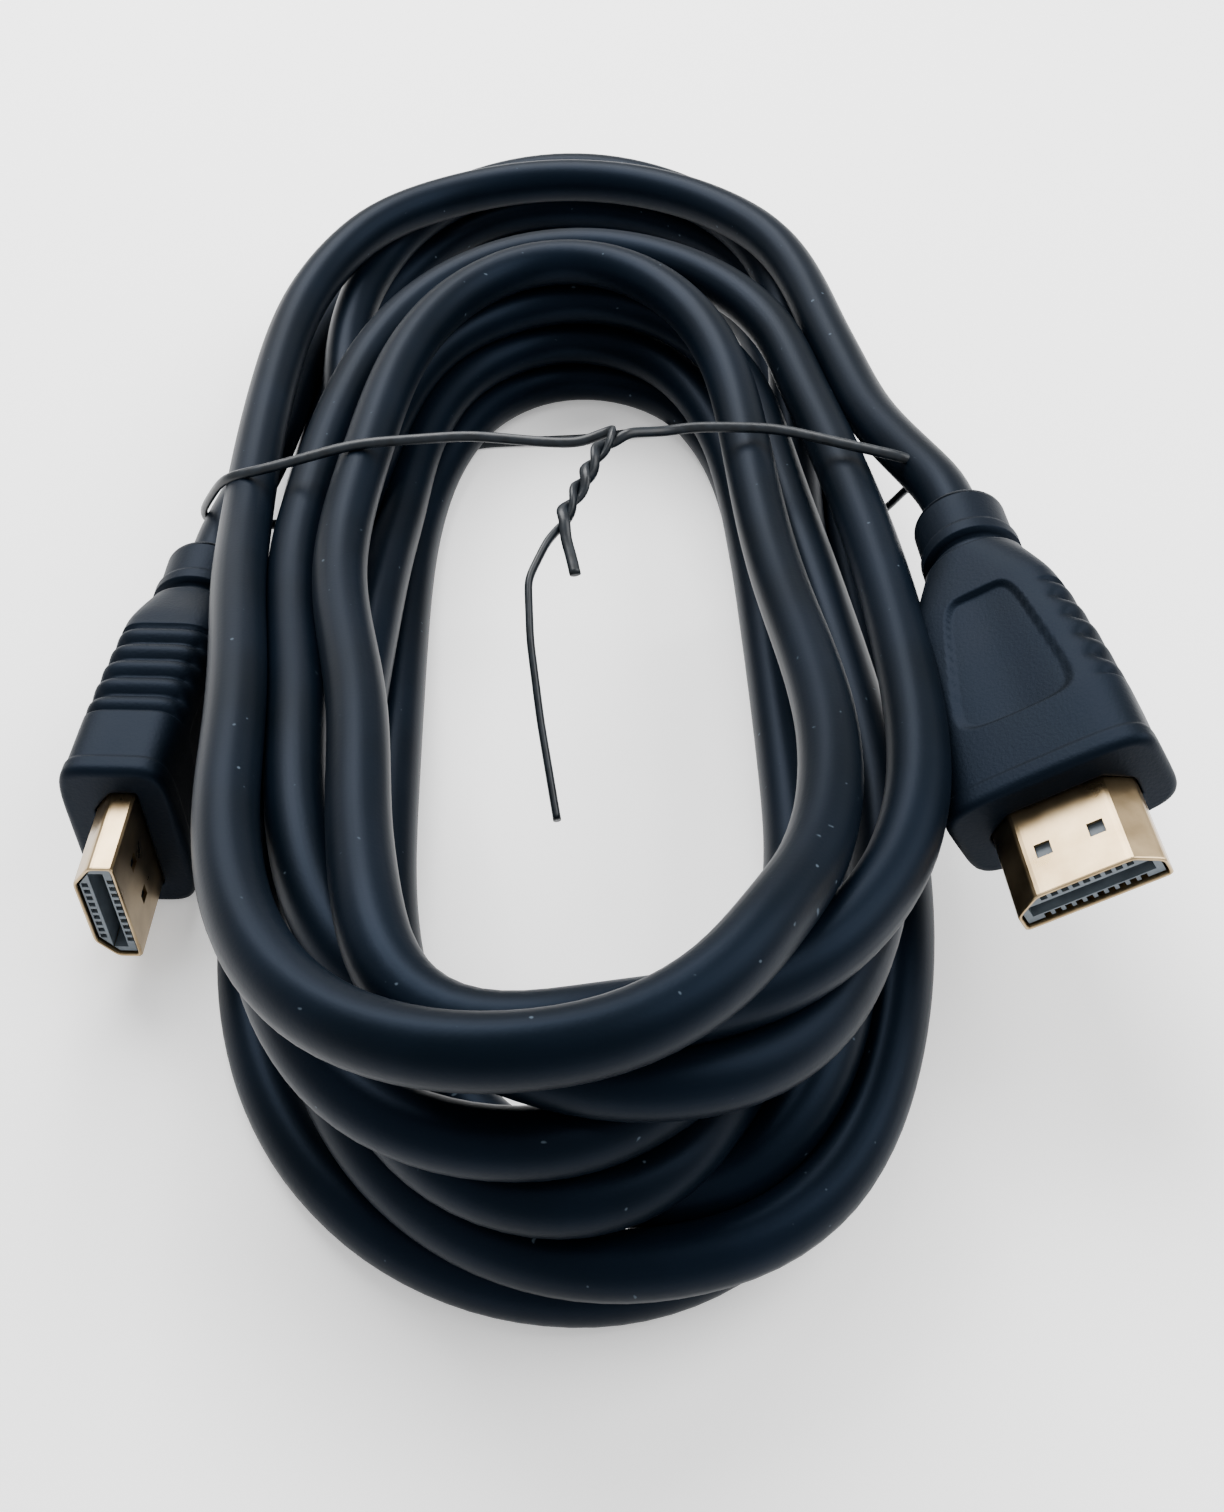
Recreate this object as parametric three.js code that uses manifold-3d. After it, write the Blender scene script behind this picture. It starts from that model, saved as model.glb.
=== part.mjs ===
// HDMI cable lying coiled on a flat surface: an oval coil held by a wire tie, with a plug at each side.
// Millimetres, +Z up, +Y away from the plugs' mouths, origin at the middle of the underside.
import * as THREE from 'three';
import { mergeVertices } from 'three/addons/utils/BufferGeometryUtils.js';
import Module from 'manifold-3d';

const wasm = await Module();
wasm.setup();

// cord and the gap kept between neighbours
const CORD_D = 6;
const CORD_SIDES = 10;
const GAP = 0.3;

// coil: half length, half widths and middle line of the outer oval at its near and far ends
const COIL_HALF_LENGTH = 97;
const COIL_HALF_WIDTH = { near: 35, far: 36.5 };
const COIL_MIDDLE_X = { near: -5, far: -7 };
const OVAL_SQUARENESS = 2.8;
const COIL_STATIONS = 52;
// band width, height, set-back of the top edges and lift, at the near end, right side, far end and left side
const BAND_WIDTH = { near: 8.5, right: 14.5, far: 44, left: 21.5 };
const BAND_HEIGHT = { near: 41, right: 27.5, far: 22, left: 27.5 };
const TOP_OUTER_INSET = { near: 4, right: 1, far: 14, left: 2 };
const TOP_INNER_INSET = { near: -3.4, right: 2, far: 6, left: 3 };
const TURN_ROWS = 8;
const TOP_ROWS = 3;
const INNER_ROWS = 5;
const SCALLOP = 1.1;

// plug shell profile: wide side, upright sides, narrow side, wall and the length outside the grip
const SHELL_WIDE = 13.9;
const SHELL_NARROW = 9;
const SHELL_SIDE = 2.5;
const SHELL_THICK = 4.45;
const SHELL_WALL = 0.35;
const SHELL_EXPOSED = 9.6;
const SHELL_SEAT = 3;
const LATCH_WINDOW = 1.5;
const LATCH_PITCH = 5;
const LATCH_SETBACK = 4.6;

// contact carrier and contacts
const CARRIER_RECESS = 0.4;
const CARRIER_GAP = 0.2;
const SLOT_WIDTH = 11.5;
const SLOT_THICK = 1.5;
const SLOT_DEPTH = 7;
const SLOT_LEVEL = 2.05;
const CONTACT_PITCH = 1;
const CONTACT_POCKET = 0.62;
const CONTACT_SIZE = 0.3;
const CONTACT_LENGTH = 4.5;
const CONTACT_SETBACK = 0.7;
const CONTACT_ROWS = { wide: { count: 10, level: 0.84 }, narrow: { count: 9, level: 3.42 } };

// moulded grip
const GRIP_WIDE = 20.8;
const GRIP_THICK = 11;
const GRIP_LENGTH = 33;
const GRIP_REAR_WIDE = 12.4;
const GRIP_REAR_THICK = 10.4;
const GRIP_EDGE = 2;
const PANEL_RECESS = 0.7;
const PANEL_MARGIN = 2.6;
const PANEL_LENGTH = 19;
const RIB_COUNT = 5;
const RIB_PITCH = 2.9;
const RIB_GROOVE = 1.1;
const RIB_DEPTH = 0.7;
const RIB_START = 9;
const COLLAR_D = 10.6;
const COLLAR_LENGTH = 9.4;
const COLLAR_GROOVE = 1;
const CORD_BORE_DEPTH = 3;

// where each plug lies: its mouth, its heading in the floor plane and its roll
const PLUGS = {
  left: { mouth: [-49.7, -58.2, GRIP_WIDE / 2], heading: -1.5, roll: 90 },
  right: { mouth: [42.4, -66.4, 24.3], heading: 4.5, roll: 31 },
};

// wire tie
const TIE_D = 1.4;
const TIE_SIDES = 8;
const TIE_Y = -5.5;
const TIE_TWIST_TURNS = 3;
const TIE_TWIST_PITCH = 5.4;
const TIE_TAIL = 30;
const TIE_SHORT_TAIL = 6;
const TIE_SPAN_STEPS = 84;
const TIE_ARCH = 30;
const TIE_ARCH_RAMP = 12;

const vec = (x, y, z = 0) => new THREE.Vector3(x, y, z);
const lerp = THREE.MathUtils.lerp;
const rad = THREE.MathUtils.degToRad;

const finish = {
  jacket: new THREE.MeshStandardMaterial({ color: 0x10161f, roughness: 0.45, metalness: 0 }),
  grip: new THREE.MeshStandardMaterial({ color: 0x0f151d, roughness: 0.55, metalness: 0 }),
  shell: new THREE.MeshStandardMaterial({ color: 0xb89c72, roughness: 0.3, metalness: 1 }),
  carrier: new THREE.MeshStandardMaterial({ color: 0x5b646c, roughness: 0.6, metalness: 0 }),
  contact: new THREE.MeshStandardMaterial({ color: 0xc9a55a, roughness: 0.3, metalness: 1 }),
  tie: new THREE.MeshStandardMaterial({ color: 0x14181d, roughness: 0.4, metalness: 0 }),
};

function toSolid(geometry) {
  const plain = geometry.index ? geometry.toNonIndexed() : geometry.clone();
  for (const name of Object.keys(plain.attributes)) {
    if (name !== 'position') plain.deleteAttribute(name);
  }
  const merged = mergeVertices(plain, 1e-5);
  return new wasm.Manifold(new wasm.Mesh({
    numProp: 3,
    vertProperties: Float32Array.from(merged.attributes.position.array),
    triVerts: Uint32Array.from(merged.index.array),
  }));
}

function toGeometry(solid) {
  const mesh = solid.getMesh();
  const geometry = new THREE.BufferGeometry();
  geometry.setAttribute('position', new THREE.BufferAttribute(mesh.vertProperties, 3));
  geometry.setIndex(new THREE.BufferAttribute(mesh.triVerts, 1));
  geometry.computeVertexNormals();
  return geometry;
}

const cut = (geometry, tools) => toGeometry(
  tools.reduce((solid, tool) => solid.subtract(toSolid(tool)), toSolid(geometry)));
const join = (geometry, others) => toGeometry(
  others.reduce((solid, other) => solid.add(toSolid(other)), toSolid(geometry)));

function named(name, geometry, material) {
  const mesh = new THREE.Mesh(geometry, material);
  mesh.name = name;
  return mesh;
}

// ---- coil ----

const power = (v, e) => Math.sign(v) * Math.abs(v) ** e;

/** Value of a four-station size at angle t: right side at 0, far end at a quarter turn. */
function around(sizes, t) {
  const c = Math.cos(t);
  const s = Math.sin(t);
  return (c > 0 ? sizes.right : sizes.left) * c * c + (s > 0 ? sizes.far : sizes.near) * s * s;
}

/** Point at angle t of an oval with the given middle and half sizes. */
function squaredOval(t, middleX, middleY, halfWidth, halfLength) {
  return vec(
    middleX + halfWidth * power(Math.cos(t), 2 / OVAL_SQUARENESS),
    middleY + halfLength * power(Math.sin(t), 2 / OVAL_SQUARENESS));
}

/** Point on the coil's outer oval, or that far outside it. */
function outerPoint(t, outside = 0) {
  const far = (1 + power(Math.sin(t), 2 / OVAL_SQUARENESS)) / 2;
  const halfWidth = lerp(COIL_HALF_WIDTH.near, COIL_HALF_WIDTH.far, far) + outside;
  const middleX = lerp(COIL_MIDDLE_X.near, COIL_MIDDLE_X.far, far);
  return squaredOval(t, middleX, 0, halfWidth, COIL_HALF_LENGTH + outside);
}

/** Point on the oval of the coil's open middle. */
function innerPoint(t) {
  const far = (1 + power(Math.sin(t), 2 / OVAL_SQUARENESS)) / 2;
  const { near: nearBand, far: farBand, left, right } = BAND_WIDTH;
  const halfWidth = lerp(COIL_HALF_WIDTH.near, COIL_HALF_WIDTH.far, far) - (left + right) / 2;
  const middleX = lerp(COIL_MIDDLE_X.near, COIL_MIDDLE_X.far, far) + (left - right) / 2;
  return squaredOval(t, middleX, (nearBand - farBand) / 2, halfWidth, COIL_HALF_LENGTH - (nearBand + farBand) / 2);
}

/** Angle at which the outer oval reaches the given y, on the right (+1) or left (-1) side. */
function ovalAngle(y, side) {
  const s = Math.asin(power(y / COIL_HALF_LENGTH, OVAL_SQUARENESS / 2));
  return side > 0 ? s : Math.PI - s;
}

/** Scalloped line from a to b in (inset, height), a crest for each strand; the last point is left out. */
function scallops(a, b, rows, outX, outZ) {
  const points = [];
  for (let i = 0; i < rows; i += 1) {
    const valley = i / rows;
    const crest = (i + 0.5) / rows;
    points.push([lerp(a[0], b[0], valley), lerp(a[1], b[1], valley)]);
    points.push([lerp(a[0], b[0], crest) + outX * SCALLOP, lerp(a[1], b[1], crest) + outZ * SCALLOP]);
  }
  return points;
}

/** Section of the coil at angle t, as [inset from the outer oval, height] pairs, anticlockwise. */
function coilSection(t) {
  const width = around(BAND_WIDTH, t);
  const height = around(BAND_HEIGHT, t) - SCALLOP;
  const outer = around(TOP_OUTER_INSET, t) + SCALLOP;
  const inner = width - around(TOP_INNER_INSET, t);
  const lift = tieClearance(t);
  return [
    ...scallops([SCALLOP, lift], [outer, height], TURN_ROWS, -1, 0),
    ...scallops([outer, height], [inner, height], TOP_ROWS, 0, 1),
    ...scallops([inner, height], [width - SCALLOP, lift], INNER_ROWS, 1, 0),
    [width - SCALLOP, lift],
  ];
}

/** Height of the coil's underside: it rests on the floor, except where the tie passes beneath. */
function tieClearance(t) {
  const away = Math.abs(outerPoint(t).y - TIE_Y);
  const free = TIE_D + 2 * GAP;
  return free * THREE.MathUtils.clamp((TIE_ARCH - away) / TIE_ARCH_RAMP, 0, 1);
}

function coilGeometry() {
  const rings = [];
  for (let i = 0; i < COIL_STATIONS; i += 1) {
    const t = 2 * Math.PI * (i + 0.5) / COIL_STATIONS;
    const width = around(BAND_WIDTH, t);
    rings.push(coilSection(t).map(([inset, z]) => (
      outerPoint(t).lerp(innerPoint(t), inset / width).setZ(z))));
  }
  return ringLoft(rings);
}

/** Closed tube through rings of points, joined last to first. */
function ringLoft(rings) {
  const sides = rings[0].length;
  const positions = rings.flat().flatMap((p) => [p.x, p.y, p.z]);
  const index = [];
  rings.forEach((ring, i) => {
    const next = (i + 1) % rings.length;
    for (let j = 0; j < sides; j += 1) {
      const k = (j + 1) % sides;
      const [a, b, c, d] = [i * sides + j, i * sides + k, next * sides + k, next * sides + j];
      index.push(a, d, b, b, d, c);
    }
  });
  const geometry = new THREE.BufferGeometry();
  geometry.setAttribute('position', new THREE.Float32BufferAttribute(positions, 3));
  geometry.setIndex(index);
  geometry.computeVertexNormals();
  return geometry;
}

// ---- tubes ----

function circleShape(diameter, sides) {
  const shape = new THREE.Shape();
  for (let i = 0; i < sides; i += 1) {
    const a = 2 * Math.PI * i / sides;
    const point = [diameter / 2 * Math.cos(a), diameter / 2 * Math.sin(a)];
    if (i === 0) shape.moveTo(...point);
    else shape.lineTo(...point);
  }
  shape.closePath();
  return shape;
}

function tube(points, diameter, sides, steps) {
  return new THREE.ExtrudeGeometry(circleShape(diameter, sides), {
    steps,
    bevelEnabled: false,
    extrudePath: new THREE.CatmullRomCurve3(points, false, 'centripetal'),
  });
}

// ---- plug, built with its mouth at y = 0, pointing along -Y, narrow side up ----

/** Outline of the shell in (x, z), shrunk by inset, with z = 0 at the middle of its thickness. */
function shellShape(inset) {
  const half = SHELL_WIDE / 2 - inset;
  const narrow = SHELL_NARROW / 2 - inset * 0.6;
  const low = -SHELL_THICK / 2 + inset;
  const shoulder = -SHELL_THICK / 2 + SHELL_SIDE - inset * 0.4;
  const high = SHELL_THICK / 2 - inset;
  return new THREE.Shape([
    new THREE.Vector2(-half, low), new THREE.Vector2(half, low), new THREE.Vector2(half, shoulder),
    new THREE.Vector2(narrow, high), new THREE.Vector2(-narrow, high), new THREE.Vector2(-half, shoulder),
  ]);
}

/** Extrudes an (x, z) shape from y = start over the length. */
function alongY(shape, start, length) {
  const geometry = new THREE.ExtrudeGeometry(shape, { depth: length, bevelEnabled: false, steps: 1 });
  geometry.rotateX(Math.PI / 2);
  geometry.translate(0, start + length, 0);
  return geometry;
}

function box(width, length, height, x, y, z) {
  return new THREE.BoxGeometry(width, length, height).translate(x, y, z);
}

const SHELL_LENGTH = SHELL_EXPOSED + SHELL_SEAT;

function shellGeometry() {
  const tools = [alongY(shellShape(SHELL_WALL), -1, SHELL_LENGTH + 2)];
  for (const side of [-1, 1]) {
    tools.push(box(LATCH_WINDOW, LATCH_WINDOW, SHELL_THICK * 3, side * LATCH_PITCH / 2, LATCH_SETBACK, 0));
  }
  return cut(alongY(shellShape(0), 0, SHELL_LENGTH), tools);
}

function contactPlaces() {
  return Object.values(CONTACT_ROWS).flatMap(({ count, level }) => Array.from({ length: count }, (_, i) => (
    { x: (i - (count - 1) / 2) * CONTACT_PITCH, z: level - SHELL_THICK / 2 })));
}

function carrierGeometry() {
  const depth = CONTACT_SETBACK + CONTACT_LENGTH + GAP;
  const tools = contactPlaces().map(({ x, z }) => (
    box(CONTACT_POCKET, depth * 2, CONTACT_POCKET, x, CARRIER_RECESS, z)));
  const slotMiddle = SLOT_LEVEL - SHELL_THICK / 2;
  tools.push(box(SLOT_WIDTH, SLOT_DEPTH * 2, SLOT_THICK, 0, CARRIER_RECESS, slotMiddle));
  const body = alongY(shellShape(SHELL_WALL + CARRIER_GAP), CARRIER_RECESS, SHELL_LENGTH - CARRIER_RECESS);
  return cut(body, tools);
}

function contactGeometry({ x, z }) {
  const middle = CARRIER_RECESS + CONTACT_SETBACK + CONTACT_LENGTH / 2;
  return box(CONTACT_SIZE, CONTACT_LENGTH, CONTACT_SIZE, x, middle, z);
}

/** Section of the grip: a rectangle with cut corners. */
function gripRing(wide, thick, y) {
  const [x, z] = [wide / 2, thick / 2];
  const e = Math.min(GRIP_EDGE, thick / 3, wide / 3);
  return [[x - e, -z], [x, -z + e], [x, z - e], [x - e, z], [-x + e, z], [-x, z - e], [-x, -z + e], [-x + e, -z]]
    .map(([px, pz]) => vec(px, y, pz));
}

/** Closed solid through open rings of points, with flat ends. */
function cappedLoft(rings) {
  const sides = rings[0].length;
  const positions = rings.flat().flatMap((p) => [p.x, p.y, p.z]);
  const index = [];
  for (let i = 0; i + 1 < rings.length; i += 1) {
    for (let j = 0; j < sides; j += 1) {
      const k = (j + 1) % sides;
      const [a, b, c, d] = [i * sides + j, i * sides + k, (i + 1) * sides + k, (i + 1) * sides + j];
      index.push(a, c, b, a, d, c);
    }
  }
  const last = (rings.length - 1) * sides;
  for (let j = 1; j + 1 < sides; j += 1) {
    index.push(0, j, j + 1);
    index.push(last, last + j + 1, last + j);
  }
  const geometry = new THREE.BufferGeometry();
  geometry.setAttribute('position', new THREE.Float32BufferAttribute(positions, 3));
  geometry.setIndex(index);
  return geometry;
}

function gripGeometry() {
  const front = SHELL_EXPOSED;
  const rear = front + GRIP_LENGTH;
  const taper = (u) => lerp(GRIP_WIDE, GRIP_REAR_WIDE, u ** 1.7);
  const rings = [0, 0.25, 0.5, 0.75, 1].map((u) => (
    gripRing(taper(u), lerp(GRIP_THICK, GRIP_REAR_THICK, u), front + GRIP_LENGTH * u)));
  const collar = new THREE.CylinderGeometry(COLLAR_D / 2, COLLAR_D / 2, COLLAR_LENGTH + 1, 20)
    .translate(0, rear + (COLLAR_LENGTH - 1) / 2, 0);
  const groove = new THREE.LatheGeometry([
    new THREE.Vector2(COLLAR_D / 2 - 0.6, rear + COLLAR_GROOVE), new THREE.Vector2(COLLAR_D, rear + COLLAR_GROOVE),
    new THREE.Vector2(COLLAR_D, rear + 2 * COLLAR_GROOVE),
    new THREE.Vector2(COLLAR_D / 2 - 0.6, rear + 2 * COLLAR_GROOVE),
    new THREE.Vector2(COLLAR_D / 2 - 0.6, rear + COLLAR_GROOVE),
  ], 20);
  const tools = [groove];
  const boreLength = CORD_BORE_DEPTH + GAP;
  tools.push(new THREE.CylinderGeometry(CORD_D / 2 + GAP, CORD_D / 2 + GAP, boreLength * 2, 20)
    .translate(0, rear + COLLAR_LENGTH, 0));
  tools.push(alongY(shellShape(-GAP), front - 1, SHELL_SEAT + GAP + 1));
  const panelWide = GRIP_WIDE - 2 * PANEL_MARGIN - GRIP_EDGE;
  for (const side of [-1, 1]) {
    tools.push(panelTool(panelWide, side, front + PANEL_MARGIN));
    for (let i = 0; i < RIB_COUNT; i += 1) {
      const y = front + RIB_START + i * RIB_PITCH;
      const x = taper((y - front) / GRIP_LENGTH) / 2;
      tools.push(box(RIB_DEPTH * 2, RIB_GROOVE, GRIP_THICK - 2 * GRIP_EDGE, side * x, y, 0));
    }
  }
  return cut(join(cappedLoft(rings), [collar]), tools);
}

/** Recess for the panel on one wide face, narrowing towards the collar. */
function panelTool(wide, side, y) {
  const half = wide / 2;
  const shape = new THREE.Shape([
    new THREE.Vector2(-half, y), new THREE.Vector2(half, y), new THREE.Vector2(half, y + PANEL_LENGTH / 2),
    new THREE.Vector2(half * 0.55, y + PANEL_LENGTH), new THREE.Vector2(-half * 0.55, y + PANEL_LENGTH),
    new THREE.Vector2(-half, y + PANEL_LENGTH / 2),
  ]);
  const depth = GRIP_THICK;
  const start = side * (GRIP_THICK / 2 - PANEL_RECESS) - (side < 0 ? depth : 0);
  return new THREE.ExtrudeGeometry(shape, { depth, bevelEnabled: false }).translate(0, 0, start);
}

function plugGroup(side) {
  const { mouth, heading, roll } = PLUGS[side];
  const group = new THREE.Group();
  group.add(named(`plug_grip_${side}`, gripGeometry(), finish.grip));
  group.add(named(`plug_shell_${side}`, shellGeometry(), finish.shell));
  group.add(named(`contact_carrier_${side}`, carrierGeometry(), finish.carrier));
  contactPlaces().forEach((place, i) => {
    const name = `contact_${side}_${String(i + 1).padStart(2, '0')}`;
    group.add(named(name, contactGeometry(place), finish.contact));
  });
  group.position.set(...mouth);
  group.rotation.set(0, -rad(roll), rad(heading), 'ZYX');
  group.updateMatrixWorld(true);
  return group;
}

// ---- leads ----

const REAR = SHELL_EXPOSED + GRIP_LENGTH + COLLAR_LENGTH;

/** Cord from inside the plug's collar to a stretch that lies against the coil's outer wall. */
function leadGeometry(plug, side, stretch) {
  const inside = plug.localToWorld(vec(0, REAR - CORD_BORE_DEPTH, 0));
  const straight = plug.localToWorld(vec(0, REAR + CORD_D, 0));
  const beside = stretch.map(([y, z]) => {
    const t = ovalAngle(y, side);
    return outerPoint(t, CORD_D / 2 + 2 * GAP).setZ(z);
  });
  return tube([inside, straight, ...beside], CORD_D, CORD_SIDES, 18);
}

// ---- wire tie ----

/** One wire: short tail, twist, once round the bundle, twist back, long tail. */
function tieGeometry(plugPair) {
  const wireGap = TIE_D / 2 + GAP;
  const beyond = CORD_D / 2 + wireGap + GAP;
  const top = BAND_HEIGHT.right + wireGap;
  const knot = vec(0, TIE_Y, top + 0.3);
  const left = plugPair.left.localToWorld(vec(0, REAR, 0)).x - beyond;
  const right = plugPair.right.localToWorld(vec(0, REAR, 0)).x + beyond;
  const low = TIE_D / 2 + GAP / 2;
  const twist = [];
  const length = TIE_TWIST_TURNS * TIE_TWIST_PITCH;
  const reach = TIE_D / 2 + GAP / 2;
  const heading = vec(-0.35, -0.83, -0.42).normalize();
  const sideways = vec(0.92, -0.39, 0).normalize();
  const upwards = sideways.clone().cross(heading).normalize();
  const helix = (s, phase) => {
    const a = 2 * Math.PI * s / TIE_TWIST_PITCH + phase;
    return knot.clone().addScaledVector(heading, s + TIE_D)
      .addScaledVector(sideways, reach * Math.cos(a)).addScaledVector(upwards, reach * Math.sin(a));
  };
  for (let s = 0; s <= length + 1e-6; s += TIE_TWIST_PITCH / 6) twist.push(s);
  const shortTail = helix(length, Math.PI).addScaledVector(heading, TIE_SHORT_TAIL).addScaledVector(sideways, 1.6);
  const longTail = helix(length, 0).addScaledVector(heading, TIE_TAIL).addScaledVector(sideways, 2.5);
  const loop = [
    vec(left + 22, TIE_Y, top), vec(left + 7, TIE_Y + 1, top - 2), vec(left, TIE_Y + 3, top / 2),
    vec(left + 3, TIE_Y + 2, low + 3), vec(left + 9, TIE_Y + 1, low + 0.4), vec(left + 25, TIE_Y, low),
    vec(right - 25, TIE_Y, low), vec(right - 9, TIE_Y, low + 0.4), vec(right - 3, TIE_Y + 1, low + 3), vec(right, TIE_Y + 1, top / 2), vec(right + 0.4, TIE_Y, top - 4), vec(right - 5, TIE_Y, top + 1),
    vec(right - 14, TIE_Y, top + 0.5), vec(right - 24, TIE_Y, top),
  ];
  const points = [
    shortTail, ...twist.slice().reverse().map((s) => helix(s, Math.PI)), ...loop,
    ...twist.map((s) => helix(s, 0)), longTail,
  ];
  return tube(points, TIE_D, TIE_SIDES, TIE_SPAN_STEPS);
}

// ---- assembly ----

const group = new THREE.Group();
const plugs = { left: plugGroup('left'), right: plugGroup('right') };
group.add(plugs.left, plugs.right);
group.add(named('cable_coil', coilGeometry(), finish.jacket));
group.add(named('cable_lead_left', leadGeometry(plugs.left, -1, [[22, 8], [36, 6.5]]), finish.jacket));
group.add(named('cable_lead_right', leadGeometry(plugs.right, 1, [[14, 24.2], [30, 23.5]]), finish.jacket));
group.add(named('twist_tie', tieGeometry(plugs), finish.tie));

const bounds = new THREE.Box3().setFromObject(group);
const middle = bounds.getCenter(new THREE.Vector3());
group.position.set(-middle.x, -middle.y, -bounds.min.z);

export default group;
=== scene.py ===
"""Looks of the coiled cable: jacket, moulded grips, folded shells, carriers, contacts and the wire tie.

Lengths are written in millimetres and turned to metres when a mesh is made.
"""
import math

import bpy
import numpy as np
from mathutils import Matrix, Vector


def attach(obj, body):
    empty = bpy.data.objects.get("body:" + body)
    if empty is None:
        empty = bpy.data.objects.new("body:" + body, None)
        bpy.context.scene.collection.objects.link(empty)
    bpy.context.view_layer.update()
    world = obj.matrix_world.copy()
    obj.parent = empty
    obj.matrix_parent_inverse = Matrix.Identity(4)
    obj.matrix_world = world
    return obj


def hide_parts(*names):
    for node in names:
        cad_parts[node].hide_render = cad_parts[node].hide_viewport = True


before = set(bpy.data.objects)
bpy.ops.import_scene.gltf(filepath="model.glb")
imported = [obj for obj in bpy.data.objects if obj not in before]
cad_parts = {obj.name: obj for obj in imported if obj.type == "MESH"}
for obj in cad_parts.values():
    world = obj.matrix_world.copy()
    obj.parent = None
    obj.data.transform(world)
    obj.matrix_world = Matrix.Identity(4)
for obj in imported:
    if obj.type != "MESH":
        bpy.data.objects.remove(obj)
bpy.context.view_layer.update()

# view of the photograph: where the lens is, how far it looks down, and its focal length in pixels
LENS_PLACE = (0.8, -154.7, 135.0)
LENS_PITCH = 46.5
FOCAL_PIXELS = 1600.0
PHOTO_SIZE = (1224, 1512)
SENSOR = 36.0

# cord
CORD_D = 6.0
CORD_STEP = 2.6
CORD_MESH_STEP = 2.0
CORD_SIDES = 24
SIDE_NEAR_Y = -50.0
END_ROUND = 38.0
NEAR_SQUARENESS = 2.15
FAR_SQUARENESS = 2.0
LEAD_INSIDE_COLLAR = 3.0
LEAD_STRAIGHT = 1.5 * CORD_D
LEAD_TO_TURN = 2 * CORD_D

# settling of the strands: rounds, the share that one round takes of a push, of smoothing and of the
# pull back to the laid line, and how far along the cord two points have to be to push each other
SETTLE_ROUNDS = 90
SETTLE_PUSH = 0.28
SETTLE_SMOOTH = 0.12
SETTLE_HOLD = 0.012
NEIGHBOUR_RUN = 2.5 * CORD_D

# Each turn of the coil is laid through stations, listed from the lowest turn to the top one.
# Near end: x, y and height of the middle of the strand.
NEAR_END = [
    (0.2, -95.2, 3), (1, -95.8, 9), (5, -90, 10.5), (-4.5, -94.2, 16.5),
    (-9.5, -91.9, 22.6), (4, -88.2, 28), (-13, -88.2, 31), (-9.5, -92.2, 36.8),
]
# Far end: x, y, height.
FAR_END = [
    (-6, 88, 3), (-7, 88.3, 9.2), (-7, 88, 15.6), (-4, 50, 3), (-5, 50.3, 9.2),
    (-4, 50.5, 15.4), (-6, 56.8, 19.6), (-5, 51, 21.6), (-8, 78.5, 18.6),
]
# Sides: (x, height) near the near end, half way and near the far end.
RIGHT_SIDE = [
    [(27.5, 3), (26, 3), (25, 3)],
    [(30.5, 9), (29.5, 9), (27.5, 9)],
    [(25, 11), (24, 11), (26, 14)],
    [(21, 5), (20, 4), (19, 3)],
    [(19.5, 12.5), (19.5, 10.5), (17.5, 9)],
    [(27, 19), (24.5, 16.5), (21, 15.5)],
    [(30.5, 26), (30, 22), (26.5, 19.5)],
    [(21.8, 28), (18.5, 21), (16.8, 20.5)],
    [(36.5, 24.3), (33, 22), (28, 20)],
]
LEFT_SIDE = [
    [(-48, 10.4), (-46, 9), (-43.5, 6)],
    [(-37.5, 3), (-40, 3), (-38.5, 5)],
    [(-31, 8.5), (-33.5, 3.5), (-37.5, 11)],
    [(-22.5, 9), (-24, 5.5), (-25, 3.5)],
    [(-27, 13), (-26.5, 13), (-26.5, 9)],
    [(-33.5, 19.5), (-35, 10.5), (-29.5, 13)],
    [(-29.4, 25), (-36.5, 17.5), (-34, 16)],
    [(-22.6, 27), (-30.3, 20.5), (-28, 20.5)],
    [(-34.9, 26.5), (-42.4, 17), (-43.8, 15.5)],
]

# plugs: middle of the mouth, heading in the floor plane and roll, as they lie
PLUGS = {
    "left": {"mouth": (-48.906, -57.887, 10.4), "heading": -1.5, "roll": 90.0},
    "right": {"mouth": (43.194, -66.087, 24.3), "heading": 4.5, "roll": 31.0},
}
SHELL_EXPOSED = 9.6
SHELL_SEAT = 3.0
SHELL_WIDE = 13.9
SHELL_NARROW = 9.0
SHELL_SIDE = 2.5
SHELL_THICK = 4.45
SHELL_WALL = 0.35
SHELL_RIM = 0.25
SHELL_SIDES = 160
SHELL_RINGS = 16
CORNER_SHARPNESS = 36
WINDOW = 1.5
WINDOW_PITCH = 5.0
WINDOW_SETBACK = 4.6
GRIP_LENGTH = 33.0
GRIP_THICK = 11.0
GRIP_EDGE = 0.9
GRIP_NECK = 24.0
GRIP_SIDES = 240
GRIP_RINGS = 150
POCKET_GAP = 0.15
BORE_GAP = 0.08
COLLAR_D = 10.6
COLLAR_RINGS = 40
NECK_STEP = 0.1
COLLAR_LENGTH = 9.4
COLLAR_INSET = 0.25
COLLAR_EDGE = 0.7
COLLAR_GROOVE = 0.65
COLLAR_LIP = 0.35
PANEL_SPAN = (8.5, 26.0)
PANEL_HALF = (6.4, 3.6)
PANEL_DEPTH = 0.6
PANEL_SQUARENESS = 6
PANEL_FACE = 1.6
RIB_PITCH = 3.04
RIB_DEPTH = 0.85
RIB_START = 9.0
RIB_END = 24.2
RIB_REACH = (0.62, 0.8)
LIP_LENGTH = 2.4
LIP_RISE = 0.22
REAR = SHELL_EXPOSED + GRIP_LENGTH + COLLAR_LENGTH
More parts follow.
